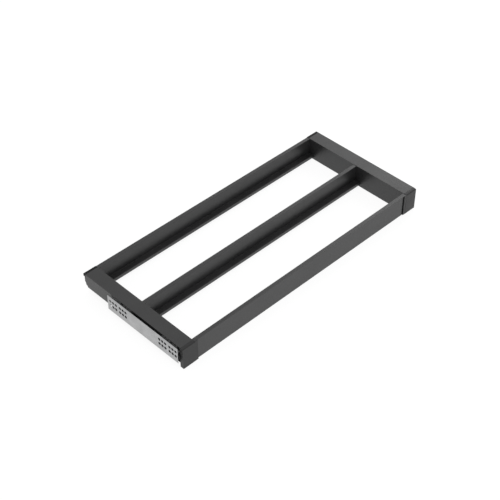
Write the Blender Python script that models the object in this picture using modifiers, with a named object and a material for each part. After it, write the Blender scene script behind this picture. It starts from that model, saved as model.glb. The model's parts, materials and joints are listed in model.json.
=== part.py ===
"""Pull-out tray frame for a wardrobe: a rectangular aluminium frame with two tray bays,
carried on a pair of full-extension ball slides whose brackets screw to the cabinet sides.

X runs along the rails, -Y is the front that is pulled out, +Z is up.
The origin lies on the floor under the middle of the closed frame. Lengths are in metres.
"""

import math

import bmesh
import bpy
from mathutils import Matrix, Vector

# Driving dimensions: the whole frame
OVERALL_WIDTH = 0.968
FRAME_DEPTH = 0.413
FRAME_HEIGHT = 0.073
TRAVEL = 0.380

# Driving dimensions: side profiles
SIDE_WIDTH = 0.0438
SIDE_WALL = 0.0018
OUTER_WALL_HEIGHT = 0.0445
CHANNEL_WIDTH = 0.0204
PROFILE_LIFT = 0.0017
CORNER_CUT_DEPTH = 0.0115
CORNER_CUT_HEIGHT = 0.018
WALL_OPENING_LENGTH = 0.0117
WALL_REAR_SETBACK = 0.0021

# Driving dimensions: cross rails and their tray ledges
RAIL_WIDTH = 0.0122
RAIL_WALL = 0.0015
RAIL_DROP = 0.001
REAR_RAIL_INSET = 0.001
MIDDLE_RAIL_SHIFT = 0.0009
LEDGE_LIFT = 0.006
LEDGE_WIDTH = 0.0183
LEDGE_HEIGHT = 0.0106
FITTING_GAP = 0.0052
FITTING_GAP_REACH = 0.001

# Driving dimensions: end caps
CAP_THICKNESS = 0.0023
CAP_OVERLAP = 0.0095
FRONT_NOSE = 0.010
FRONT_NOSE_DROP = 0.0028
REAR_NOSE = 0.009
REAR_NOSE_DROP = 0.0011
PLUG_LENGTH = 0.016
FOOT_THICKNESS = 0.002
FOOT_REACH = 0.0285

# Driving dimensions: rail connectors and screws
CONNECTOR_LENGTH = 0.025
SCREW_RADIUS = 0.0015
SCREW_HEAD_RADIUS = 0.0028
SCREW_HEAD_HEIGHT = 0.002
RAIL_SCREW_LENGTH = 0.020
MEMBER_SCREW_LENGTH = 0.006
LOWER_SCREW_HEIGHT = 0.016
MEMBER_SCREW_INSET = 0.045

# Driving dimensions: mounting brackets
SHEET = 0.0012
PANEL_GAP = 0.0073
LEFT_PLATE_HEIGHT = 0.0532
RIGHT_PLATE_HEIGHT = 0.0412
PLATE_DROP = 0.0097
PLATE_LENGTH = 0.2863
PLATE_SETBACK = 0.0121
FOLD_INSET = 0.0066
RISER_EDGE = 0.0103
PLATE_HOLE_RADIUS = 0.0047
HOLE_COLUMN_PITCH = 0.0117
HOLE_ROW_PITCH = 0.016
HOLE_TOP_DISTANCE = 0.0147
FRONT_HOLE_DISTANCE = 0.0083
REAR_HOLE_DISTANCE = 0.012
CLUSTER_PITCH = 0.0404
CLUSTER_COLUMNS = 3
CLUSTERS_PER_END = 2
RIVET_RADIUS = 0.002
RIVET_HEAD_RADIUS = 0.0036
RIVET_HEAD_HEIGHT = 0.0007
RIVET_INSET = 0.045

# Driving dimensions: ball slides
SLIDE_METAL = 0.0012
SLIDE_FRONT_SETBACK = 0.025
SLIDE_REAR_SETBACK = 0.001
MEMBER_REAR_SETBACK = 0.011
OUTER_BALL_RADIUS = 0.002
INNER_BALL_RADIUS = 0.0018
BALLS_PER_ROW = 5
CAGE_METAL = 0.0006
CAGE_MARGIN = 0.008
RACE_HOOK = 0.0021
BALL_SIDE_ROOM = 0.0008
BUMPER_LENGTH = 0.0027
BUMPER_HALF_HEIGHT = 0.008
BUMPER_THICKNESS = 0.0055

# Clearances and bend radii
SEAT_GAP = 0.0003
RIVET_HEAD_CLEARANCE = 0.00035
SLIDE_TOP_GAP = 0.001
CHEEK_CLEARANCE = 0.0059
FOOT_CLEARANCE = 0.0048
DRIVER_CLEARANCE = 0.0004
DRIVER_HOLE_EDGE = 0.002
MEMBER_HEAD_ROOM = 0.0038
TONGUE_INSET = 0.0002
BEND_RADIUS = 0.0006
PLATE_BEND_RADIUS = 0.001

# Facets of round shapes, and allowances for cutting and joining
ARC_STEPS = 8
BEND_STEPS = 2
ROUND_STEPS = 16
BALL_SEGMENTS = 8
BALL_RINGS = 6
CUT_MARGIN = 0.003
MERGE_DISTANCE = 0.00001

# Places worked out from the driving dimensions, across the width
SIDE_OUTER_X = OVERALL_WIDTH / 2 - SHEET - PANEL_GAP
RAIL_HALF_LENGTH = SIDE_OUTER_X - SIDE_WIDTH - SEAT_GAP
WEB_OUTER = SIDE_WALL + CHANNEL_WIDTH
BOX_INNER = WEB_OUTER + SIDE_WALL
INNER_WALL = SIDE_WIDTH - SIDE_WALL

# Places along the depth
FRONT_Y = -FRAME_DEPTH / 2
REAR_Y = FRAME_DEPTH / 2
PROFILE_FRONT_Y = FRONT_Y + CAP_THICKNESS + SEAT_GAP
PROFILE_REAR_Y = REAR_Y - CAP_THICKNESS - SEAT_GAP
LAP_REAR_Y = FRONT_Y + CAP_THICKNESS - TONGUE_INSET
FRONT_RAIL_Y = LAP_REAR_Y + SEAT_GAP
REAR_RAIL_Y = REAR_Y - REAR_RAIL_INSET - RAIL_WIDTH
MIDDLE_RAIL_Y = (FRONT_RAIL_Y + REAR_RAIL_Y) / 2 + MIDDLE_RAIL_SHIFT
PLATE_FRONT_Y = FRONT_Y + PLATE_SETBACK
PLATE_REAR_Y = PLATE_FRONT_Y + PLATE_LENGTH
CHEEK_REAR_Y = PLATE_FRONT_Y + FOLD_INSET - CHEEK_CLEARANCE
FOOT_REAR_Y = CHEEK_REAR_Y + FOOT_REACH
WALL_FRONT_Y = CHEEK_REAR_Y + WALL_OPENING_LENGTH
WALL_REAR_Y = PROFILE_REAR_Y - WALL_REAR_SETBACK
SLIDE_FRONT_Y = FRONT_Y + SLIDE_FRONT_SETBACK
SLIDE_REAR_Y = REAR_Y - SLIDE_REAR_SETBACK
SLIDE_LENGTH = SLIDE_REAR_Y - SLIDE_FRONT_Y
MEMBER_REAR_Y = REAR_Y - MEMBER_REAR_SETBACK
CAGE_FRONT_Y = SLIDE_FRONT_Y + TRAVEL / 4 + CAGE_MARGIN
CAGE_LENGTH = SLIDE_LENGTH - TRAVEL / 2 - 2 * CAGE_MARGIN
CAGE_REAR_Y = CAGE_FRONT_Y + CAGE_LENGTH

# Slide section: distances up and down from the slide's centre line
MEMBER_FLANGE = SCREW_HEAD_RADIUS + MEMBER_HEAD_ROOM + SLIDE_METAL / 2
INNER_BALL_ROW = MEMBER_FLANGE + SLIDE_METAL / 2 + SEAT_GAP + INNER_BALL_RADIUS
MIDDLE_FLANGE = INNER_BALL_ROW + INNER_BALL_RADIUS + SEAT_GAP + SLIDE_METAL / 2
OUTER_BALL_ROW = MIDDLE_FLANGE + SLIDE_METAL / 2 + SEAT_GAP + OUTER_BALL_RADIUS
CABINET_FLANGE = OUTER_BALL_ROW + OUTER_BALL_RADIUS + SEAT_GAP + SLIDE_METAL / 2

# Heights
OUTER_WALL_Z = FRAME_HEIGHT - OUTER_WALL_HEIGHT
WALL_OPENING_Z = FRAME_HEIGHT - 2 * SIDE_WALL
PLATE_Z = OUTER_WALL_Z - PLATE_DROP
FOOT_Z = PLATE_Z - FOOT_CLEARANCE
RAIL_TOP_Z = FRAME_HEIGHT - RAIL_DROP
LEDGE_FOOT_Z = PROFILE_LIFT + LEDGE_LIFT
LEDGE_Z = LEDGE_FOOT_Z + LEDGE_HEIGHT
SLIDE_TOP_Z = FRAME_HEIGHT - REAR_NOSE - SLIDE_TOP_GAP
SLIDE_Z = SLIDE_TOP_Z - SLIDE_METAL / 2 - CABINET_FLANGE
RISER_TOP_Z = SLIDE_Z + RISER_EDGE
DRIVER_HOLE_RADIUS = SCREW_HEAD_RADIUS + DRIVER_CLEARANCE
UPPER_SCREW_Z = FRAME_HEIGHT - FRONT_NOSE - SEAT_GAP - DRIVER_HOLE_EDGE - DRIVER_HOLE_RADIUS
RAIL_SCREW_Z = (PROFILE_LIFT + LOWER_SCREW_HEIGHT, UPPER_SCREW_Z)

# Slide section: distances inward from the side profile's outer face
RIVET_SEAT_U = SIDE_WALL + RIVET_HEAD_CLEARANCE + RIVET_HEAD_HEIGHT
RISER_U = RIVET_SEAT_U + SEAT_GAP / 2 + SHEET / 2
CABINET_WEB_U = RISER_U + SHEET / 2 + SEAT_GAP + SLIDE_METAL / 2
OUTER_CAGE_U = CABINET_WEB_U + SLIDE_METAL / 2 + SEAT_GAP + CAGE_METAL / 2
MIDDLE_WEB_U = OUTER_CAGE_U + CAGE_METAL / 2 + SEAT_GAP + SLIDE_METAL / 2
INNER_CAGE_U = MIDDLE_WEB_U + SLIDE_METAL / 2 + SEAT_GAP + CAGE_METAL / 2
MEMBER_WEB_U = WEB_OUTER - SEAT_GAP - SLIDE_METAL / 2
OUTER_BALL_U = CABINET_WEB_U + SLIDE_METAL / 2 + BALL_SIDE_ROOM + OUTER_BALL_RADIUS
INNER_BALL_U = INNER_CAGE_U + CAGE_METAL / 2 + 2 * BALL_SIDE_ROOM + INNER_BALL_RADIUS
CABINET_HOOK_U = OUTER_BALL_U + OUTER_BALL_RADIUS + SEAT_GAP + SLIDE_METAL / 2
MIDDLE_HOOK_U = INNER_BALL_U + INNER_BALL_RADIUS + SEAT_GAP + SLIDE_METAL / 2
MEMBER_EDGE_U = INNER_BALL_U - INNER_BALL_RADIUS

SIDES = {"left": -1, "right": 1}
PLATE_HEIGHTS = {"left": LEFT_PLATE_HEIGHT, "right": RIGHT_PLATE_HEIGHT}
RAILS = {"front": FRONT_RAIL_Y, "middle": MIDDLE_RAIL_Y, "rear": REAR_RAIL_Y}
ALONG_X = (math.pi / 2, 0, math.pi / 2)
ALONG_Y = (math.pi / 2, 0, 0)


# Scene, collections and materials

def clear_scene():
    for item in list(bpy.data.objects):
        bpy.data.objects.remove(item, do_unlink=True)


def new_collection(name):
    collection = bpy.data.collections.new(name)
    bpy.context.scene.collection.children.link(collection)
    return collection


def new_material(name, color, roughness, metallic):
    material = bpy.data.materials.new(name)
    material.use_nodes = True
    shader = material.node_tree.nodes["Principled BSDF"]
    shader.inputs["Base Color"].default_value = (*color, 1)
    shader.inputs["Roughness"].default_value = roughness
    shader.inputs["Metallic"].default_value = metallic
    return material


def new_body(name, location):
    """An empty that carries the pieces of one moving body, on the line of its slide."""
    body = bpy.data.objects.new(name, None)
    body.location = location
    body.empty_display_size = SIDE_WIDTH
    PARTS.objects.link(body)
    return body


def place(item, body, material):
    """Hang a finished piece on its body and give it its material."""
    item.data.materials.clear()
    item.data.materials.append(material)
    item.parent = body
    item.matrix_parent_inverse = Matrix.Translation(-body.location)
    return item


# Outlines, in the plane of a section

def rectangle(low, high):
    return [(low[0], low[1]), (high[0], low[1]), (high[0], high[1]), (low[0], high[1])]


def arc(center, radii, start, end, steps):
    """Points of a round or oval arc between two angles in radians, both ends included."""
    points = []
    for step in range(steps + 1):
        angle = start + (end - start) * step / steps
        points.append((center[0] + radii[0] * math.cos(angle), center[1] + radii[1] * math.sin(angle)))
    return points


def circle(center, radius):
    return arc(center, (radius, radius), 0, 2 * math.pi, ROUND_STEPS)[:-1]


def sheet_outline(path, thickness, inner_radius):
    """Outline of a bent sheet whose middle line follows a path of right-angled corners."""
    path = [Vector(point) for point in path]
    half = thickness / 2
    bend = inner_radius + half
    left = []
    right = []
    for index, corner in enumerate(path):
        before = (corner - path[index - 1]).normalized() if index > 0 else None
        after = (path[index + 1] - corner).normalized() if index < len(path) - 1 else None
        if before is None or after is None:
            heading = after or before
            normal = Vector((-heading.y, heading.x))
            left.append(corner + normal * half)
            right.append(corner - normal * half)
            continue
        turn = 1 if before.cross(after) > 0 else -1
        center = corner - before * bend + Vector((-before.y, before.x)) * bend * turn
        start = -Vector((-before.y, before.x)) * turn
        for step in range(BEND_STEPS + 1):
            angle = turn * math.pi / 2 * step / BEND_STEPS
            spoke = Matrix.Rotation(angle, 2) @ start
            left.append(center + spoke * (bend - half * turn))
            right.append(center + spoke * (bend + half * turn))
    return [tuple(point) for point in left + right[::-1]]


def across(side, outline):
    """Turn distances inward from a side's outer face into X, for the left or right side."""
    return [(side * (SIDE_OUTER_X - inward), height) for inward, height in outline]


# Solids

def prism(name, outlines, low, high, turn):
    """Extrude flat outlines between two places along X or Y; inner outlines are holes."""
    curve = bpy.data.curves.new(name, "CURVE")
    curve.dimensions = "2D"
    curve.fill_mode = "BOTH"
    curve.extrude = (high - low) / 2
    for outline in outlines:
        spline = curve.splines.new("POLY")
        spline.points.add(len(outline) - 1)
        for point, (first, second) in zip(spline.points, outline):
            point.co = (first, second, 0, 1)
        spline.use_cyclic_u = True
    middle = (low + high) / 2
    drawn = bpy.data.objects.new(name + "_outline", curve)
    drawn.rotation_euler = turn
    drawn.location = (middle, 0, 0) if turn == ALONG_X else (0, middle, 0)
    PARTS.objects.link(drawn)
    depsgraph = bpy.context.evaluated_depsgraph_get()
    mesh = bpy.data.meshes.new_from_object(drawn.evaluated_get(depsgraph))
    shape = bmesh.new()
    shape.from_mesh(mesh)
    bmesh.ops.remove_doubles(shape, verts=shape.verts, dist=MERGE_DISTANCE)
    bmesh.ops.recalc_face_normals(shape, faces=shape.faces)
    shape.to_mesh(mesh)
    shape.free()
    solid = bpy.data.objects.new(name, mesh)
    solid.matrix_world = drawn.matrix_world
    PARTS.objects.link(solid)
    bpy.data.objects.remove(drawn, do_unlink=True)
    return solid


def add_box(shape, low, high):
    low = Vector(low)
    high = Vector(high)
    size = Vector([abs(value) for value in high - low])
    spot = Matrix.Translation((low + high) / 2) @ Matrix.Diagonal((*size, 1))
    bmesh.ops.create_cube(shape, size=1, matrix=spot)


def add_rod_along_x(shape, start_x, end_x, y, z, radius):
    spot = Matrix.Translation(((start_x + end_x) / 2, y, z)) @ Matrix.Rotation(math.pi / 2, 4, "Y")
    bmesh.ops.create_cone(shape, cap_ends=True, segments=ROUND_STEPS, radius1=radius, radius2=radius,
                          depth=abs(end_x - start_x), matrix=spot)


def helper(name, shape):
    """A cutting or joining shape, kept out of the picture."""
    mesh = bpy.data.meshes.new(name)
    shape.to_mesh(mesh)
    shape.free()
    tool = bpy.data.objects.new(name, mesh)
    tool.hide_render = True
    tool.display_type = "WIRE"
    TOOLS.objects.link(tool)
    return tool


def combine(solid, tool, operation):
    modifier = solid.modifiers.new(operation.title(), "BOOLEAN")
    modifier.operation = operation
    modifier.object = tool


def turned(name, profile, tip, direction):
    """A turned fastener: its own Z runs from its point to its head."""
    shape = bmesh.new()
    points = [shape.verts.new((radius, 0, height)) for radius, height in profile]
    for first, second in zip(points, points[1:]):
        shape.edges.new((first, second))
    mesh = bpy.data.meshes.new(name)
    shape.to_mesh(mesh)
    shape.free()
    solid = bpy.data.objects.new(name, mesh)
    screw = solid.modifiers.new("Turned", "SCREW")
    screw.steps = ROUND_STEPS
    screw.render_steps = ROUND_STEPS
    screw.use_merge_vertices = True
    screw.merge_threshold = MERGE_DISTANCE
    screw.use_smooth_shade = False
    solid.rotation_euler = (0, direction * math.pi / 2, 0)
    solid.location = tip
    PARTS.objects.link(solid)
    return solid


def fastener(name, head_radius, head_height, shank_radius, length, seat, direction):
    """A screw or rivet along X. Its head's underside lies at the seat, its head points along
    the direction."""
    profile = [(0, head_height), (head_radius, head_height), (head_radius, 0),
               (shank_radius, 0), (shank_radius, -length), (0, -length)]
    return turned(name, profile, seat, direction)


def build_screw(name, length, seat, side):
    return fastener(name, SCREW_HEAD_RADIUS, SCREW_HEAD_HEIGHT, SCREW_RADIUS, length, seat, side)


# Frame: side profiles, rails, connectors and caps

def rail_center_y(rail):
    return RAILS[rail] + RAIL_WIDTH / 2


def member_screw_ys():
    return {"front": SLIDE_FRONT_Y + MEMBER_SCREW_INSET, "rear": MEMBER_REAR_Y - MEMBER_SCREW_INSET}


def build_side_profile(name, side):
    """A box profile with a channel on its outer side for the slide; the outer wall is short."""
    outline = [(0, OUTER_WALL_Z), (0, FRAME_HEIGHT), (SIDE_WIDTH, FRAME_HEIGHT),
               (SIDE_WIDTH, PROFILE_LIFT), (WEB_OUTER, PROFILE_LIFT),
               (WEB_OUTER, FRAME_HEIGHT - SIDE_WALL), (SIDE_WALL, FRAME_HEIGHT - SIDE_WALL),
               (SIDE_WALL, OUTER_WALL_Z)]
    hollow = rectangle((BOX_INNER, PROFILE_LIFT + SIDE_WALL), (INNER_WALL, FRAME_HEIGHT - SIDE_WALL))
    profile = prism(name, [across(side, outline), across(side, hollow)],
                    PROFILE_FRONT_Y, PROFILE_REAR_Y, ALONG_Y)

    # Rebates for the rounded noses of the caps, at the top of both ends
    rebates = bmesh.new()
    low_x = side * (SIDE_OUTER_X + CUT_MARGIN)
    high_x = side * (SIDE_OUTER_X - SIDE_WIDTH - CUT_MARGIN)
    top_z = FRAME_HEIGHT + CUT_MARGIN
    front_step = FRONT_NOSE + SEAT_GAP
    add_box(rebates, (low_x, FRONT_Y, FRAME_HEIGHT - front_step), (high_x, FRONT_Y + front_step, top_z))
    rear_step = REAR_NOSE + SEAT_GAP
    add_box(rebates, (low_x, REAR_Y - rear_step, FRAME_HEIGHT - rear_step), (high_x, REAR_Y, top_z))
    combine(profile, helper(name + "_rebates", rebates), "DIFFERENCE")

    # Rail screw holes in the inner wall, with driver holes in line in the web
    holes = bmesh.new()
    for rail in RAILS:
        for height in RAIL_SCREW_Z:
            center_y = rail_center_y(rail)
            add_rod_along_x(holes, side * (SIDE_OUTER_X - INNER_WALL + CUT_MARGIN),
                            side * (SIDE_OUTER_X - SIDE_WIDTH - CUT_MARGIN),
                            center_y, height, SCREW_RADIUS + SEAT_GAP)
            add_rod_along_x(holes, side * (SIDE_OUTER_X - WEB_OUTER + CUT_MARGIN),
                            side * (SIDE_OUTER_X - BOX_INNER - CUT_MARGIN),
                            center_y, height, DRIVER_HOLE_RADIUS)
    for center_y in member_screw_ys().values():
        add_rod_along_x(holes, side * (SIDE_OUTER_X - WEB_OUTER + CUT_MARGIN),
                        side * (SIDE_OUTER_X - BOX_INNER - CUT_MARGIN),
                        center_y, SLIDE_Z, SCREW_RADIUS + SEAT_GAP)
    combine(profile, helper(name + "_holes", holes), "DIFFERENCE")

    # The outer wall starts behind the cheek of the front cap
    opening = bmesh.new()
    add_box(opening, (low_x, FRONT_Y, OUTER_WALL_Z - CUT_MARGIN),
            (side * (SIDE_OUTER_X - SIDE_WALL - CUT_MARGIN), WALL_FRONT_Y, WALL_OPENING_Z))
    combine(profile, helper(name + "_opening", opening), "DIFFERENCE")

    # The outer wall stops short at the rear, and its lower corner there is cut off at a slant
    end_y = PROFILE_REAR_Y + CUT_MARGIN
    slant = [(WALL_REAR_Y - CORNER_CUT_DEPTH, OUTER_WALL_Z),
             (WALL_REAR_Y, OUTER_WALL_Z + CORNER_CUT_HEIGHT),
             (WALL_REAR_Y, FRAME_HEIGHT - REAR_NOSE),
             (end_y, FRAME_HEIGHT - REAR_NOSE),
             (end_y, OUTER_WALL_Z - CUT_MARGIN),
             (WALL_REAR_Y - CORNER_CUT_DEPTH, OUTER_WALL_Z - CUT_MARGIN)]
    walls = sorted((side * (SIDE_OUTER_X + CUT_MARGIN), side * (SIDE_OUTER_X - SIDE_WALL - CUT_MARGIN)))
    corner = prism(name + "_corner", [slant], *walls, ALONG_X)
    PARTS.objects.unlink(corner)
    TOOLS.objects.link(corner)
    corner.hide_render = True
    corner.display_type = "WIRE"
    combine(profile, corner, "DIFFERENCE")
    return profile


def build_rail(name, front_y, ledge_sides):
    """A hollow rail with a hollow tray ledge near its foot on one side or both."""
    rear_y = front_y + RAIL_WIDTH
    outline = [(rear_y, RAIL_TOP_Z), (front_y, RAIL_TOP_Z)]
    hollows = [rectangle((front_y + RAIL_WALL, PROFILE_LIFT + RAIL_WALL),
                         (rear_y - RAIL_WALL, RAIL_TOP_Z - RAIL_WALL))]
    ledge_hollow_z = (LEDGE_FOOT_Z + RAIL_WALL, LEDGE_Z - RAIL_WALL)
    if "front" in ledge_sides:
        edge_y = front_y - LEDGE_WIDTH
        outline += [(front_y, LEDGE_Z), (edge_y, LEDGE_Z), (edge_y, LEDGE_FOOT_Z), (front_y, LEDGE_FOOT_Z)]
        hollows.append(rectangle((edge_y + RAIL_WALL, ledge_hollow_z[0]), (front_y, ledge_hollow_z[1])))
    outline += [(front_y, PROFILE_LIFT), (rear_y, PROFILE_LIFT)]
    if "rear" in ledge_sides:
        edge_y = rear_y + LEDGE_WIDTH
        outline += [(rear_y, LEDGE_FOOT_Z), (edge_y, LEDGE_FOOT_Z), (edge_y, LEDGE_Z), (rear_y, LEDGE_Z)]
        hollows.append(rectangle((rear_y, ledge_hollow_z[0]), (edge_y - RAIL_WALL, ledge_hollow_z[1])))
    return prism(name, [outline] + hollows, -RAIL_HALF_LENGTH, RAIL_HALF_LENGTH, ALONG_X)


def build_front_rail(name):
    """The front wall of the front rail stops short of the right cap, which leaves an upright gap."""
    rail = build_rail(name, FRONT_RAIL_Y, ("rear",))
    gap = bmesh.new()
    lap_x = SIDE_OUTER_X - SIDE_WIDTH - CAP_OVERLAP
    add_box(gap, (lap_x - FITTING_GAP, FRONT_RAIL_Y - CUT_MARGIN, PROFILE_LIFT + RAIL_WALL),
            (lap_x + FITTING_GAP_REACH, FRONT_RAIL_Y + RAIL_WALL + SEAT_GAP, RAIL_TOP_Z - RAIL_WALL))
    combine(rail, helper(name + "_gap", gap), "DIFFERENCE")
    return rail


def build_connector(name, side, rail):
    """A block inside the rail's end, drilled for the two screws that hold the rail."""
    inset = RAIL_WALL + SEAT_GAP
    block = rectangle((RAILS[rail] + inset, PROFILE_LIFT + inset),
                      (RAILS[rail] + RAIL_WIDTH - inset, RAIL_TOP_Z - inset))
    bores = [circle((rail_center_y(rail), height), SCREW_RADIUS + SEAT_GAP) for height in RAIL_SCREW_Z]
    ends = sorted((side * RAIL_HALF_LENGTH, side * (RAIL_HALF_LENGTH - CONNECTOR_LENGTH)))
    return prism(name, [block] + bores, *ends, ALONG_X)


def build_rail_screw(name, side, rail, height):
    seat = (side * (SIDE_OUTER_X - INNER_WALL + SEAT_GAP), rail_center_y(rail), height)
    return build_screw(name, RAIL_SCREW_LENGTH, seat, side)


def cap_section(face_y, inward, nose, drop, low_z):
    """Plate of a cap with a softly rounded nose at its top; inward is the way from face to frame."""
    back_y = face_y + inward * CAP_THICKNESS
    nose_y = face_y + inward * nose
    start = math.pi if inward > 0 else 0
    round_top = arc((nose_y, FRAME_HEIGHT - drop), (nose, drop), start, math.pi / 2, ARC_STEPS)
    underside_z = FRAME_HEIGHT - nose + SEAT_GAP
    return [(face_y, low_z)] + round_top + [(nose_y, underside_z), (back_y, underside_z), (back_y, low_z)]


def add_plug(shape, side, cap_y, end_y, top_z):
    """The tongue that plugs a cap into the hollow box of the profile, clear of the screw heads."""
    head_room = SCREW_HEAD_HEIGHT + 2 * SEAT_GAP
    low_z = PROFILE_LIFT + SIDE_WALL + SEAT_GAP
    add_box(shape, (side * (SIDE_OUTER_X - BOX_INNER - SEAT_GAP), cap_y, low_z),
            (side * (SIDE_OUTER_X - INNER_WALL + head_room + SEAT_GAP), end_y, top_z))


def build_front_cap(name, side):
    """Closes the front of a side profile and laps over the end of the front rail."""
    ends = sorted((side * SIDE_OUTER_X, side * (SIDE_OUTER_X - SIDE_WIDTH)))
    cap = prism(name, [cap_section(FRONT_Y, 1, FRONT_NOSE, FRONT_NOSE_DROP, 0)], *ends, ALONG_X)
    tongues = bmesh.new()
    root_y = FRONT_Y + CAP_THICKNESS / 2
    add_plug(tongues, side, root_y, FRONT_Y + CAP_THICKNESS + PLUG_LENGTH,
             FRAME_HEIGHT - FRONT_NOSE - TONGUE_INSET)

    # A cheek on the outer side, a foot that closes the channel below, and the lap over the rail
    cheek_x = side * (SIDE_OUTER_X - TONGUE_INSET)
    add_box(tongues, (cheek_x, root_y, TONGUE_INSET),
            (cheek_x - side * SIDE_WALL, CHEEK_REAR_Y, WALL_OPENING_Z - SEAT_GAP))
    add_box(tongues, (cheek_x - side * (SIDE_WALL + SEAT_GAP), root_y, FOOT_Z - FOOT_THICKNESS),
            (side * (SIDE_OUTER_X - WEB_OUTER + SEAT_GAP), FOOT_REAR_Y, FOOT_Z))
    lap_x = side * (SIDE_OUTER_X - SIDE_WIDTH)
    add_box(tongues, (lap_x + side * TONGUE_INSET, FRONT_Y + TONGUE_INSET, TONGUE_INSET),
            (lap_x - side * CAP_OVERLAP, LAP_REAR_Y, FRAME_HEIGHT - TONGUE_INSET))
    combine(cap, helper(name + "_tongues", tongues), "UNION")
    return cap


def build_rear_cap(name, side):
    """Closes the rear of the box; over the channel only its nose, so the slide can pass out."""
    ends = sorted((side * SIDE_OUTER_X, side * (SIDE_OUTER_X - SIDE_WIDTH)))
    cap = prism(name, [cap_section(REAR_Y, -1, REAR_NOSE, REAR_NOSE_DROP, PROFILE_LIFT)], *ends, ALONG_X)
    passage = bmesh.new()
    add_box(passage, (side * (SIDE_OUTER_X + CUT_MARGIN), REAR_Y + CUT_MARGIN, -CUT_MARGIN),
            (side * (SIDE_OUTER_X - WEB_OUTER), REAR_Y - REAR_NOSE - CUT_MARGIN,
             FRAME_HEIGHT - REAR_NOSE + TONGUE_INSET))
    combine(cap, helper(name + "_passage", passage), "DIFFERENCE")
    tongue = bmesh.new()
    add_plug(tongue, side, REAR_Y - CAP_THICKNESS / 2, REAR_Y - CAP_THICKNESS - PLUG_LENGTH,
             FRAME_HEIGHT - REAR_NOSE - TONGUE_INSET)
    combine(cap, helper(name + "_tongue", tongue), "UNION")
    return cap


# Cabinet brackets

def plate_hole_ys():
    """Hole columns: clusters at each end of the plate."""
    columns = []
    for cluster in range(CLUSTERS_PER_END):
        for column in range(CLUSTER_COLUMNS):
            inset = cluster * CLUSTER_PITCH + column * HOLE_COLUMN_PITCH
            columns += [PLATE_FRONT_Y + FRONT_HOLE_DISTANCE + inset, PLATE_REAR_Y - REAR_HOLE_DISTANCE - inset]
    return columns


def rivet_ys():
    return {"front": PLATE_FRONT_Y + RIVET_INSET, "rear": PLATE_REAR_Y - RIVET_INSET}


def build_bracket(name, side, plate_height):
    """A perforated plate on the cabinet side, folded under the outer wall and up into the channel."""
    plate_u = -PANEL_GAP - SHEET / 2
    path = [(plate_u, PLATE_Z + plate_height), (plate_u, PLATE_Z + SHEET / 2), (RISER_U, PLATE_Z + SHEET / 2),
            (RISER_U, RISER_TOP_Z)]
    outline = across(side, sheet_outline(path, SHEET, PLATE_BEND_RADIUS))
    bracket = prism(name, [outline], PLATE_FRONT_Y, PLATE_REAR_Y, ALONG_Y)

    cuts = bmesh.new()
    plate_x = side * (SIDE_OUTER_X - plate_u)
    upper_row_z = PLATE_Z + plate_height - HOLE_TOP_DISTANCE
    for center_y in plate_hole_ys():
        for height in (upper_row_z - HOLE_ROW_PITCH, upper_row_z):
            add_rod_along_x(cuts, plate_x - SHEET, plate_x + SHEET, center_y, height, PLATE_HOLE_RADIUS)
    riser_x = side * (SIDE_OUTER_X - RISER_U)
    for center_y in rivet_ys().values():
        add_rod_along_x(cuts, riser_x - SHEET, riser_x + SHEET, center_y, SLIDE_Z, RIVET_RADIUS + SEAT_GAP)
    fold_x = side * (SIDE_OUTER_X + PANEL_GAP - PLATE_BEND_RADIUS)
    inner_x = side * (SIDE_OUTER_X - RISER_U - CUT_MARGIN)
    add_box(cuts, (fold_x, PLATE_FRONT_Y - CUT_MARGIN, PLATE_Z - CUT_MARGIN),
            (inner_x, PLATE_FRONT_Y + FOLD_INSET, RISER_TOP_Z + CUT_MARGIN))
    combine(bracket, helper(name + "_cuts", cuts), "DIFFERENCE")
    return bracket


def build_rivet(name, side, center_y):
    """Holds the cabinet rail to the bracket: head clear of the outer wall, tail flush in the rail."""
    length = CABINET_WEB_U + SLIDE_METAL / 2 - RIVET_SEAT_U
    seat = (side * (SIDE_OUTER_X - RIVET_SEAT_U), center_y, SLIDE_Z)
    return fastener(name, RIVET_HEAD_RADIUS, RIVET_HEAD_HEIGHT, RIVET_RADIUS, length, seat, side)


# Ball slides

def channel_path(web_u, edge_u, flange, hook):
    """Middle line of a channel: web, two flanges and, where it has them, hooked edges."""
    path = [(edge_u, SLIDE_Z + flange), (web_u, SLIDE_Z + flange),
            (web_u, SLIDE_Z - flange), (edge_u, SLIDE_Z - flange)]
    if hook:
        path = [(edge_u, SLIDE_Z + flange - hook)] + path + [(edge_u, SLIDE_Z - flange + hook)]
    return path


def build_channel(name, side, path, metal, front_y, rear_y):
    outline = across(side, sheet_outline(path, metal, BEND_RADIUS))
    return prism(name, [outline], front_y, rear_y, ALONG_Y)


def build_cabinet_rail(name, side):
    path = channel_path(CABINET_WEB_U, CABINET_HOOK_U, CABINET_FLANGE, RACE_HOOK)
    rail = build_channel(name, side, path, SLIDE_METAL, SLIDE_FRONT_Y, SLIDE_REAR_Y)
    holes = bmesh.new()
    web_x = side * (SIDE_OUTER_X - CABINET_WEB_U)
    for center_y in rivet_ys().values():
        add_rod_along_x(holes, web_x - SLIDE_METAL, web_x + SLIDE_METAL, center_y, SLIDE_Z,
                        RIVET_RADIUS + SEAT_GAP)
    combine(rail, helper(name + "_holes", holes), "DIFFERENCE")
    return rail


def build_middle_member(name, side):
    path = channel_path(MIDDLE_WEB_U, MIDDLE_HOOK_U, MIDDLE_FLANGE, RACE_HOOK)
    rear_y = SLIDE_REAR_Y - BUMPER_LENGTH - SEAT_GAP
    return build_channel(name, side, path, SLIDE_METAL, SLIDE_FRONT_Y, rear_y)


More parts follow.
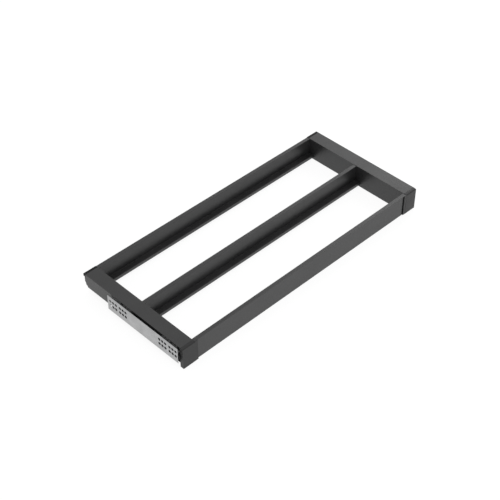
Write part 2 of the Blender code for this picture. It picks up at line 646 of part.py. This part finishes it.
def build_drawer_member(name, side):
    path = channel_path(MEMBER_WEB_U, MEMBER_EDGE_U, MEMBER_FLANGE, 0)
    member = build_channel(name, side, path, SLIDE_METAL, SLIDE_FRONT_Y, MEMBER_REAR_Y)
    holes = bmesh.new()
    web_x = side * (SIDE_OUTER_X - MEMBER_WEB_U)
    for center_y in member_screw_ys().values():
        add_rod_along_x(holes, web_x - SLIDE_METAL, web_x + SLIDE_METAL, center_y, SLIDE_Z,
                        SCREW_RADIUS + SEAT_GAP)
    combine(member, helper(name + "_holes", holes), "DIFFERENCE")
    return member


def build_member_screw(name, side, center_y):
    seat_u = MEMBER_WEB_U - SLIDE_METAL / 2 - SEAT_GAP
    seat = (side * (SIDE_OUTER_X - seat_u), center_y, SLIDE_Z)
    return build_screw(name, MEMBER_SCREW_LENGTH, seat, side)


def build_ball_cage(name, side, web_u, ball_u, row, radius):
    """A thin channel that spaces two rows of balls; the balls are held in its flanges."""
    path = channel_path(web_u, ball_u + radius / 2, row, 0)
    cage = build_channel(name, side, path, CAGE_METAL, CAGE_FRONT_Y, CAGE_REAR_Y)
    balls = bmesh.new()
    pitch = CAGE_LENGTH / BALLS_PER_ROW
    ball_x = side * (SIDE_OUTER_X - ball_u)
    for index in range(BALLS_PER_ROW):
        center_y = CAGE_FRONT_Y + pitch / 2 + pitch * index
        for height in (SLIDE_Z - row, SLIDE_Z + row):
            bmesh.ops.create_uvsphere(balls, u_segments=BALL_SEGMENTS, v_segments=BALL_RINGS, radius=radius,
                                      matrix=Matrix.Translation((ball_x, center_y, height)))
    combine(cage, helper(name + "_balls", balls), "UNION")
    return cage


def build_bumper(name, side):
    """A rubber block at the rear of the cabinet rail that the middle member closes against."""
    front_u = CABINET_WEB_U + SLIDE_METAL / 2 + SEAT_GAP
    outline = rectangle((front_u, SLIDE_Z - BUMPER_HALF_HEIGHT),
                        (front_u + BUMPER_THICKNESS, SLIDE_Z + BUMPER_HALF_HEIGHT))
    return prism(name, [across(side, outline)], SLIDE_REAR_Y - BUMPER_LENGTH, SLIDE_REAR_Y, ALONG_Y)


# Assembly

def assemble_frame(body, coat, plastic, nylon, steel):
    place(build_front_rail("front_rail"), body, coat)
    place(build_rail("middle_rail", MIDDLE_RAIL_Y, ("front", "rear")), body, coat)
    place(build_rail("rear_rail", REAR_RAIL_Y, ("front",)), body, coat)
    for label, side in SIDES.items():
        place(build_side_profile(label + "_side_profile", side), body, coat)
        place(build_front_cap(label + "_front_cap", side), body, plastic)
        place(build_rear_cap(label + "_rear_cap", side), body, plastic)
        for rail in RAILS:
            place(build_connector(f"{label}_{rail}_connector", side, rail), body, nylon)
            for level, height in zip(("lower", "upper"), RAIL_SCREW_Z):
                place(build_rail_screw(f"{label}_{rail}_{level}_screw", side, rail, height), body, steel)
        place(build_drawer_member(label + "_drawer_member", side), body, steel)
        for end, center_y in member_screw_ys().items():
            place(build_member_screw(f"{label}_{end}_member_screw", side, center_y), body, steel)


def assemble_cabinet_side(body, zinc, rubber):
    for label, side in SIDES.items():
        place(build_bracket(label + "_mounting_bracket", side, PLATE_HEIGHTS[label]), body, zinc)
        place(build_cabinet_rail(label + "_cabinet_rail", side), body, zinc)
        place(build_bumper(label + "_closing_bumper", side), body, rubber)
        for end, center_y in rivet_ys().items():
            place(build_rivet(f"{label}_{end}_rail_rivet", side, center_y), body, zinc)


def assemble_runners(zinc, steel):
    """The slide pieces that run at a fraction of the frame's speed, each on its own body."""
    for label, side in SIDES.items():
        line = (side * (SIDE_OUTER_X - MIDDLE_WEB_U), SLIDE_FRONT_Y, SLIDE_Z)
        middle = build_middle_member(label + "_middle_member", side)
        place(middle, new_body(label + "_middle_slide", line), zinc)
        outer = build_ball_cage(label + "_outer_ball_cage", side, OUTER_CAGE_U, OUTER_BALL_U,
                                OUTER_BALL_ROW, OUTER_BALL_RADIUS)
        place(outer, new_body(label + "_outer_cage_slide", line), steel)
        inner = build_ball_cage(label + "_inner_ball_cage", side, INNER_CAGE_U, INNER_BALL_U,
                                INNER_BALL_ROW, INNER_BALL_RADIUS)
        place(inner, new_body(label + "_inner_cage_slide", line), steel)


def build():
    coat = new_material("charcoal_coat", (0.022, 0.022, 0.023), 0.42, 0)
    plastic = new_material("charcoal_plastic", (0.020, 0.020, 0.021), 0.5, 0)
    nylon = new_material("black_nylon", (0.012, 0.012, 0.012), 0.6, 0)
    zinc = new_material("zinc_sheet", (0.55, 0.56, 0.57), 0.38, 1)
    steel = new_material("bright_steel", (0.62, 0.62, 0.61), 0.28, 1)
    rubber = new_material("black_rubber", (0.012, 0.012, 0.012), 0.8, 0)
    assemble_cabinet_side(new_body("cabinet_side", (0, 0, SLIDE_Z)), zinc, rubber)
    assemble_frame(new_body("sliding_frame", (0, FRONT_Y, SLIDE_Z)), coat, plastic, nylon, steel)
    assemble_runners(zinc, steel)


clear_scene()
PARTS = new_collection("pull_out_tray_frame")
TOOLS = new_collection("cutters")
build()
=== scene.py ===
import json
import math

import bmesh
import bpy
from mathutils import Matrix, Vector

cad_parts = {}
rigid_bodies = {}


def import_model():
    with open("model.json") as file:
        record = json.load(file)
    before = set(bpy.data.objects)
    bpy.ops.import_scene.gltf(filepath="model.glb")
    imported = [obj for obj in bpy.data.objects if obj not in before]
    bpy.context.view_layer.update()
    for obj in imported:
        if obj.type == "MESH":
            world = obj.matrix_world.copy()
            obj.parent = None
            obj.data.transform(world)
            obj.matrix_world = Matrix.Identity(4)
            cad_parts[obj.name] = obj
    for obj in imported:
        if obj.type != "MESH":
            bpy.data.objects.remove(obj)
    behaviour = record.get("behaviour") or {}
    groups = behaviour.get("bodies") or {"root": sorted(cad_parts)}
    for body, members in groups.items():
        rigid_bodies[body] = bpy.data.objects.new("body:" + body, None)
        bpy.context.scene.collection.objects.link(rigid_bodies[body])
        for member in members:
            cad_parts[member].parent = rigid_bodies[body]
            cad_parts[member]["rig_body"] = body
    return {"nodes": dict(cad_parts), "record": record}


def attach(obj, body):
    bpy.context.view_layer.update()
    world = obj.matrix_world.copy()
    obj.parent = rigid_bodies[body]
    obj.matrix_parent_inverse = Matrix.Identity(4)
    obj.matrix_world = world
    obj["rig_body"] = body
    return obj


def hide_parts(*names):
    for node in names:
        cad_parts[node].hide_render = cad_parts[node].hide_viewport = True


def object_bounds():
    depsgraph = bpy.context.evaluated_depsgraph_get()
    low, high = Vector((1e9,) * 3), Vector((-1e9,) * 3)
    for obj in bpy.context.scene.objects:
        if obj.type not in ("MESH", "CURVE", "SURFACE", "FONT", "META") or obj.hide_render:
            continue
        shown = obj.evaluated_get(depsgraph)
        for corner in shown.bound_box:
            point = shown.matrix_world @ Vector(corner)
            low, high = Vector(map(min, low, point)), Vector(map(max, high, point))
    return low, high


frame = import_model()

CAD_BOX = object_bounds()

# Camera: the photograph's own viewpoint. Azimuth 0 is the front, 90 the right side
CAMERA_PLACE = (-1.84062, -1.83967, 2.32176)
CAMERA_AZIMUTH = -44.60348
CAMERA_ELEVATION = 41.83637
CAMERA_LENS = 85.26
CAMERA_SENSOR = 36.0
VIEW_REACH = 120.0

# Broken edges of the finished pieces, in metres
EDGE_ROUND = {"charcoal_coat": 0.0005, "charcoal_plastic": 0.0004, "zinc_sheet": 0.0003}
SMALL_ROUND = 0.0002
ROUND_SEGMENTS = 2
SHARP_ANGLE = math.radians(35)
FLAT_ANGLE = math.radians(0.5)
FLAT_WEIGHT = 100
WELD_DISTANCE = 0.00001

# Noise at these levels gives the lower and the upper value of a finish
NOISE_LOW = 0.3
NOISE_HIGH = 0.7

# Dark finishes. The tone noise shifts colour and gloss, and the grain noise raises the surface. Where there
# is no grain noise, the tone noise raises it too. Noise scales are per metre, and bump heights in metres
DARK_FINISHES = {
    # Powder coat: fine orange peel, slight drift in tone and gloss
    "charcoal_coat": {
        "tone_noise": {"scale": 18, "detail": 3},
        "grain_noise": {"scale": 1300, "detail": 3},
        "dark": (0.014, 0.014, 0.0145), "light": (0.018, 0.018, 0.0185),
        "rough": (0.36, 0.42), "ior": 1.54, "bump_strength": 0.30, "bump_height": 0.0003},
    # Moulded plastic with a fine spark-eroded grain
    "charcoal_plastic": {
        "tone_noise": {"scale": 40, "detail": 2},
        "grain_noise": {"scale": 1900, "detail": 3, "roughness": 0.6},
        "dark": (0.009, 0.009, 0.0095), "light": (0.012, 0.012, 0.0125),
        "rough": (0.42, 0.48), "ior": 1.435, "bump_strength": 0.35, "bump_height": 0.0002},
    # Rear caps: the same moulded cap plastic, near black, made darker and duller than on the front caps as
    # painted shade for their noses; with a coarser matt grain
    "matt_painted_shade_plastic": {
        "tone_noise": {"scale": 1600, "detail": 3, "roughness": 0.6},
        "dark": (0.007, 0.007, 0.007), "light": (0.011, 0.011, 0.011),
        "rough": (0.62, 0.74), "ior": 1.3, "bump_strength": 0.40, "bump_height": 0.0002},
    # Glass-filled nylon: dull, with short fibres showing
    "black_nylon": {
        "tone_noise": {"scale": 900, "detail": 3, "roughness": 0.6, "stretch": (0.2, 1, 1)},
        "dark": (0.008, 0.008, 0.008), "light": (0.016, 0.016, 0.016),
        "rough": (0.5, 0.65), "ior": 1.5, "bump_strength": 0.12, "bump_height": 0.0002},
    # Rubber of the closing bumpers: dull and slightly mottled
    "black_rubber": {
        "tone_noise": {"scale": 300, "detail": 3},
        "dark": (0.009, 0.009, 0.009), "light": (0.015, 0.015, 0.015),
        "rough": (0.7, 0.85), "ior": 1.5, "bump_strength": 0.15, "bump_height": 0.0003},
}
# The rear caps take the darker, duller copy of the cap plastic, which is painted shade
REAR_CAP_ENDING = "rear_cap"
REAR_CAP_FINISH = "matt_painted_shade_plastic"

# Metal finishes: clouds in the tone, and streaks along the rolling direction, which is Y
METAL_FINISHES = {
    # Bright drawn steel of the screws, drawer members and ball cages
    "bright_steel": {
        "streak_noise": {"scale": 900, "detail": 4, "roughness": 0.6, "stretch": (1, 0.02, 1)},
        "dark": (0.56, 0.56, 0.55), "light": (0.66, 0.66, 0.65),
        "rough": (0.22, 0.34), "bump_strength": 0.05},
    # Zinc-plated sheet of the brackets, cabinet rails and middle members, and the rivets
    "zinc_sheet": {
        "streak_noise": {"scale": 700, "detail": 4, "roughness": 0.6, "stretch": (1, 0.05, 1)},
        "dark": (0.355, 0.357, 0.36), "light": (0.43, 0.432, 0.435),
        "rough": (0.30, 0.44), "bump_strength": 0.12},
}
CLOUD_NOISE = {"scale": 35, "detail": 3}
STREAK_HEIGHT = 0.0001

# Floor: flat round the object, with a rim that sweeps up far behind it
FLOOR_RADIUS = 12.0
FLOOR_DROP = 0.0004
SWEEP_RADIUS = 40.0
SWEEP_HEIGHT = 9.0
SWEEP_STEPS = 12
SWEEP_SIDES = 64

# Floor tones: the paint that bounces light, and what the eye sees, a glow plus a share that takes the shadow
FLOOR_BOUNCE = 0.8
SHADOW_SHARE = 0.15
FLOOR_GLOW = 0.885

# Light: a soft world, a soft box behind on the right and a broad key lamp above the camera
WORLD_LEVEL = 0.835
LAMPS = {
    "soft_box": {"azimuth": 110.0, "elevation": 38.0, "distance": 4.0, "size": 1.8, "power": 23.0},
    "key": {"azimuth": 315.0, "elevation": 62.0, "distance": 5.0, "size": 3.0, "power": 40.0},
}


# Materials

def new_material(name):
    material = bpy.data.materials.new(name)
    material.use_nodes = True
    tree = material.node_tree
    return material, tree, tree.nodes["Principled BSDF"]


def object_noise(tree, scale, detail, roughness=0.5, stretch=(1, 1, 1)):
    """Noise in object space, so that it stays on the piece and needs no unwrapping."""
    place = tree.nodes.new("ShaderNodeTexCoord")
    mapping = tree.nodes.new("ShaderNodeMapping")
    mapping.inputs["Scale"].default_value = stretch
    noise = tree.nodes.new("ShaderNodeTexNoise")
    noise.inputs["Scale"].default_value = scale
    noise.inputs["Detail"].default_value = detail
    noise.inputs["Roughness"].default_value = roughness
    tree.links.new(place.outputs["Object"], mapping.inputs["Vector"])
    tree.links.new(mapping.outputs["Vector"], noise.inputs["Vector"])
    return noise.outputs["Fac"]


def vary_roughness(tree, shader, value, rough):
    node = tree.nodes.new("ShaderNodeMapRange")
    node.inputs["From Min"].default_value = NOISE_LOW
    node.inputs["From Max"].default_value = NOISE_HIGH
    node.inputs["To Min"].default_value, node.inputs["To Max"].default_value = rough
    tree.links.new(value, node.inputs["Value"])
    tree.links.new(node.outputs["Result"], shader.inputs["Roughness"])


def vary_colour(tree, shader, value, dark, light):
    ramp = tree.nodes.new("ShaderNodeValToRGB")
    low, high = ramp.color_ramp.elements
    low.position, low.color = NOISE_LOW, (*dark, 1)
    high.position, high.color = NOISE_HIGH, (*light, 1)
    tree.links.new(value, ramp.inputs["Fac"])
    tree.links.new(ramp.outputs["Color"], shader.inputs["Base Color"])


def raise_surface(tree, shader, value, strength, height):
    node = tree.nodes.new("ShaderNodeBump")
    node.inputs["Strength"].default_value = strength
    node.inputs["Distance"].default_value = height
    tree.links.new(value, node.inputs["Height"])
    tree.links.new(node.outputs["Normal"], shader.inputs["Normal"])


def dark_material(name, tone_noise, dark, light, rough, ior, bump_strength, bump_height, grain_noise=None):
    material, tree, shader = new_material(name)
    tone = object_noise(tree, **tone_noise)
    grain = object_noise(tree, **grain_noise) if grain_noise else tone
    vary_colour(tree, shader, tone, dark, light)
    vary_roughness(tree, shader, tone, rough)
    shader.inputs["IOR"].default_value = ior
    raise_surface(tree, shader, grain, bump_strength, bump_height)
    return material


def metal_material(name, streak_noise, dark, light, rough, bump_strength):
    material, tree, shader = new_material(name)
    streak = object_noise(tree, **streak_noise)
    vary_colour(tree, shader, object_noise(tree, **CLOUD_NOISE), dark, light)
    shader.inputs["Metallic"].default_value = 1.0
    vary_roughness(tree, shader, streak, rough)
    raise_surface(tree, shader, streak, bump_strength, STREAK_HEIGHT)
    return material


FINISHES = {}
for finish_name, finish_setting in DARK_FINISHES.items():
    FINISHES[finish_name] = dark_material(finish_name + "_finish", **finish_setting)
for finish_name, finish_setting in METAL_FINISHES.items():
    FINISHES[finish_name] = metal_material(finish_name + "_finish", **finish_setting)


# Finished pieces: each stands for one node of the frame, with its edges broken

def clean_mesh(name, source):
    """A copy of a node's mesh with its flat faces whole, so that only real edges are rounded."""
    shape = bmesh.new()
    shape.from_mesh(source)
    bmesh.ops.remove_doubles(shape, verts=shape.verts, dist=WELD_DISTANCE)
    bmesh.ops.dissolve_limit(shape, angle_limit=FLAT_ANGLE, verts=shape.verts, edges=shape.edges)
    bmesh.ops.recalc_face_normals(shape, faces=shape.faces)
    mesh = bpy.data.meshes.new(name)
    shape.to_mesh(mesh)
    shape.free()
    mesh.polygons.foreach_set("use_smooth", [True] * len(mesh.polygons))
    return mesh


def make_piece(node, slot):
    source = frame["nodes"][node]
    name = node + "_finished"
    mesh = clean_mesh(name, source.data)
    # Rear caps get the darker, duller copy of their plastic: painted shade
    mesh.materials.append(FINISHES[REAR_CAP_FINISH if node.endswith(REAR_CAP_ENDING) else slot])
    piece = bpy.data.objects.new(name, mesh)
    bpy.context.scene.collection.objects.link(piece)
    edge = piece.modifiers.new("Broken edges", "BEVEL")
    edge.width = EDGE_ROUND.get(slot, SMALL_ROUND)
    edge.segments = ROUND_SEGMENTS
    edge.limit_method = "ANGLE"
    edge.angle_limit = SHARP_ANGLE
    flat = piece.modifiers.new("Flat faces", "WEIGHTED_NORMAL")
    flat.mode = "FACE_AREA"
    flat.weight = FLAT_WEIGHT
    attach(piece, source["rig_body"])
    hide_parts(node)


for subpart in frame["record"]["subparts"]:
    make_piece(subpart["node"], subpart["material_slot"])


# Floor, world, lamps and camera

def grey(level):
    return (level, level, level, 1)


def seen_ray(tree):
    """1 for rays from the camera and for reflections and transmissions, 0 for light on the object."""
    rays = tree.nodes.new("ShaderNodeLightPath")
    value = rays.outputs["Is Camera Ray"]
    for kind in ("Is Glossy Ray", "Is Transmission Ray"):
        either = tree.nodes.new("ShaderNodeMath")
        either.operation = "MAXIMUM"
        tree.links.new(value, either.inputs[0])
        tree.links.new(rays.outputs[kind], either.inputs[1])
        value = either.outputs["Value"]
    return value


def floor_material():
    """White to the eye and in reflections, with a soft shadow; plain pale paint for bounced light."""
    material = bpy.data.materials.new("pale_floor")
    material.use_nodes = True
    tree = material.node_tree
    tree.nodes.clear()
    output = tree.nodes.new("ShaderNodeOutputMaterial")
    paint = tree.nodes.new("ShaderNodeBsdfDiffuse")
    paint.inputs["Color"].default_value = grey(FLOOR_BOUNCE)
    shadow = tree.nodes.new("ShaderNodeBsdfDiffuse")
    shadow.inputs["Color"].default_value = grey(SHADOW_SHARE)
    glow = tree.nodes.new("ShaderNodeEmission")
    glow.inputs["Strength"].default_value = FLOOR_GLOW
    seen = tree.nodes.new("ShaderNodeAddShader")
    choice = tree.nodes.new("ShaderNodeMixShader")
    tree.links.new(shadow.outputs["BSDF"], seen.inputs[0])
    tree.links.new(glow.outputs["Emission"], seen.inputs[1])
    tree.links.new(seen_ray(tree), choice.inputs["Fac"])
    tree.links.new(paint.outputs["BSDF"], choice.inputs[1])
    tree.links.new(seen.outputs["Shader"], choice.inputs[2])
    tree.links.new(choice.outputs["Shader"], output.inputs["Surface"])
    return material


def make_floor():
    """A flat round floor whose rim sweeps up far behind the object, so that low views end in white too."""
    shape = bmesh.new()
    rings = []
    turns = [2 * math.pi * side / SWEEP_SIDES for side in range(SWEEP_SIDES)]
    for step in range(SWEEP_STEPS + 1):
        share = step / SWEEP_STEPS
        radius = FLOOR_RADIUS + (SWEEP_RADIUS - FLOOR_RADIUS) * share
        height = SWEEP_HEIGHT * share ** 2
        rings.append([shape.verts.new((radius * math.cos(turn), radius * math.sin(turn), height))
                      for turn in turns])
    shape.faces.new(rings[0])
    for lower, upper in zip(rings, rings[1:]):
        for side in range(SWEEP_SIDES):
            after = (side + 1) % SWEEP_SIDES
            shape.faces.new((lower[side], lower[after], upper[after], upper[side])).smooth = True
    mesh = bpy.data.meshes.new("floor")
    shape.to_mesh(mesh)
    shape.free()
    mesh.materials.append(floor_material())
    floor = bpy.data.objects.new("floor", mesh)
    floor.location = (0, 0, CAD_BOX[0].z - FLOOR_DROP)
    bpy.context.scene.collection.objects.link(floor)


def make_world():
    world = bpy.data.worlds.new("studio")
    world.use_nodes = True
    background = world.node_tree.nodes["Background"]
    background.inputs["Color"].default_value = grey(1)
    background.inputs["Strength"].default_value = WORLD_LEVEL
    bpy.context.scene.world = world


def direction(azimuth, elevation):
    """Unit vector from the object towards the viewer at these angles, in degrees."""
    turn = math.radians(azimuth)
    rise = math.radians(elevation)
    return Vector((math.sin(turn) * math.cos(rise), -math.cos(turn) * math.cos(rise), math.sin(rise)))


def add_facing(name, data, place, toward):
    """Adds a lamp or camera at a place, turned to look against the given direction."""
    item = bpy.data.objects.new(name, data)
    item.location = place
    item.rotation_mode = "QUATERNION"
    item.rotation_quaternion = (-toward).to_track_quat("-Z", "Y")
    bpy.context.scene.collection.objects.link(item)
    return item


def make_lamp(name, azimuth, elevation, distance, size, power):
    """A square area lamp that faces the object."""
    light = bpy.data.lights.new(name, "AREA")
    light.shape = "SQUARE"
    light.size = size
    light.energy = power
    toward = direction(azimuth, elevation)
    add_facing(name, light, toward * distance, toward)


def make_camera():
    lens = bpy.data.cameras.new("photo_view")
    lens.lens = CAMERA_LENS
    lens.sensor_width = CAMERA_SENSOR
    lens.clip_end = VIEW_REACH
    toward = direction(CAMERA_AZIMUTH, CAMERA_ELEVATION)
    bpy.context.scene.camera = add_facing("photo_view", lens, CAMERA_PLACE, toward)


make_floor()
make_world()
for lamp_name, lamp_setting in LAMPS.items():
    make_lamp(lamp_name, **lamp_setting)
make_camera()
bpy.context.scene.view_settings.view_transform = "Standard"
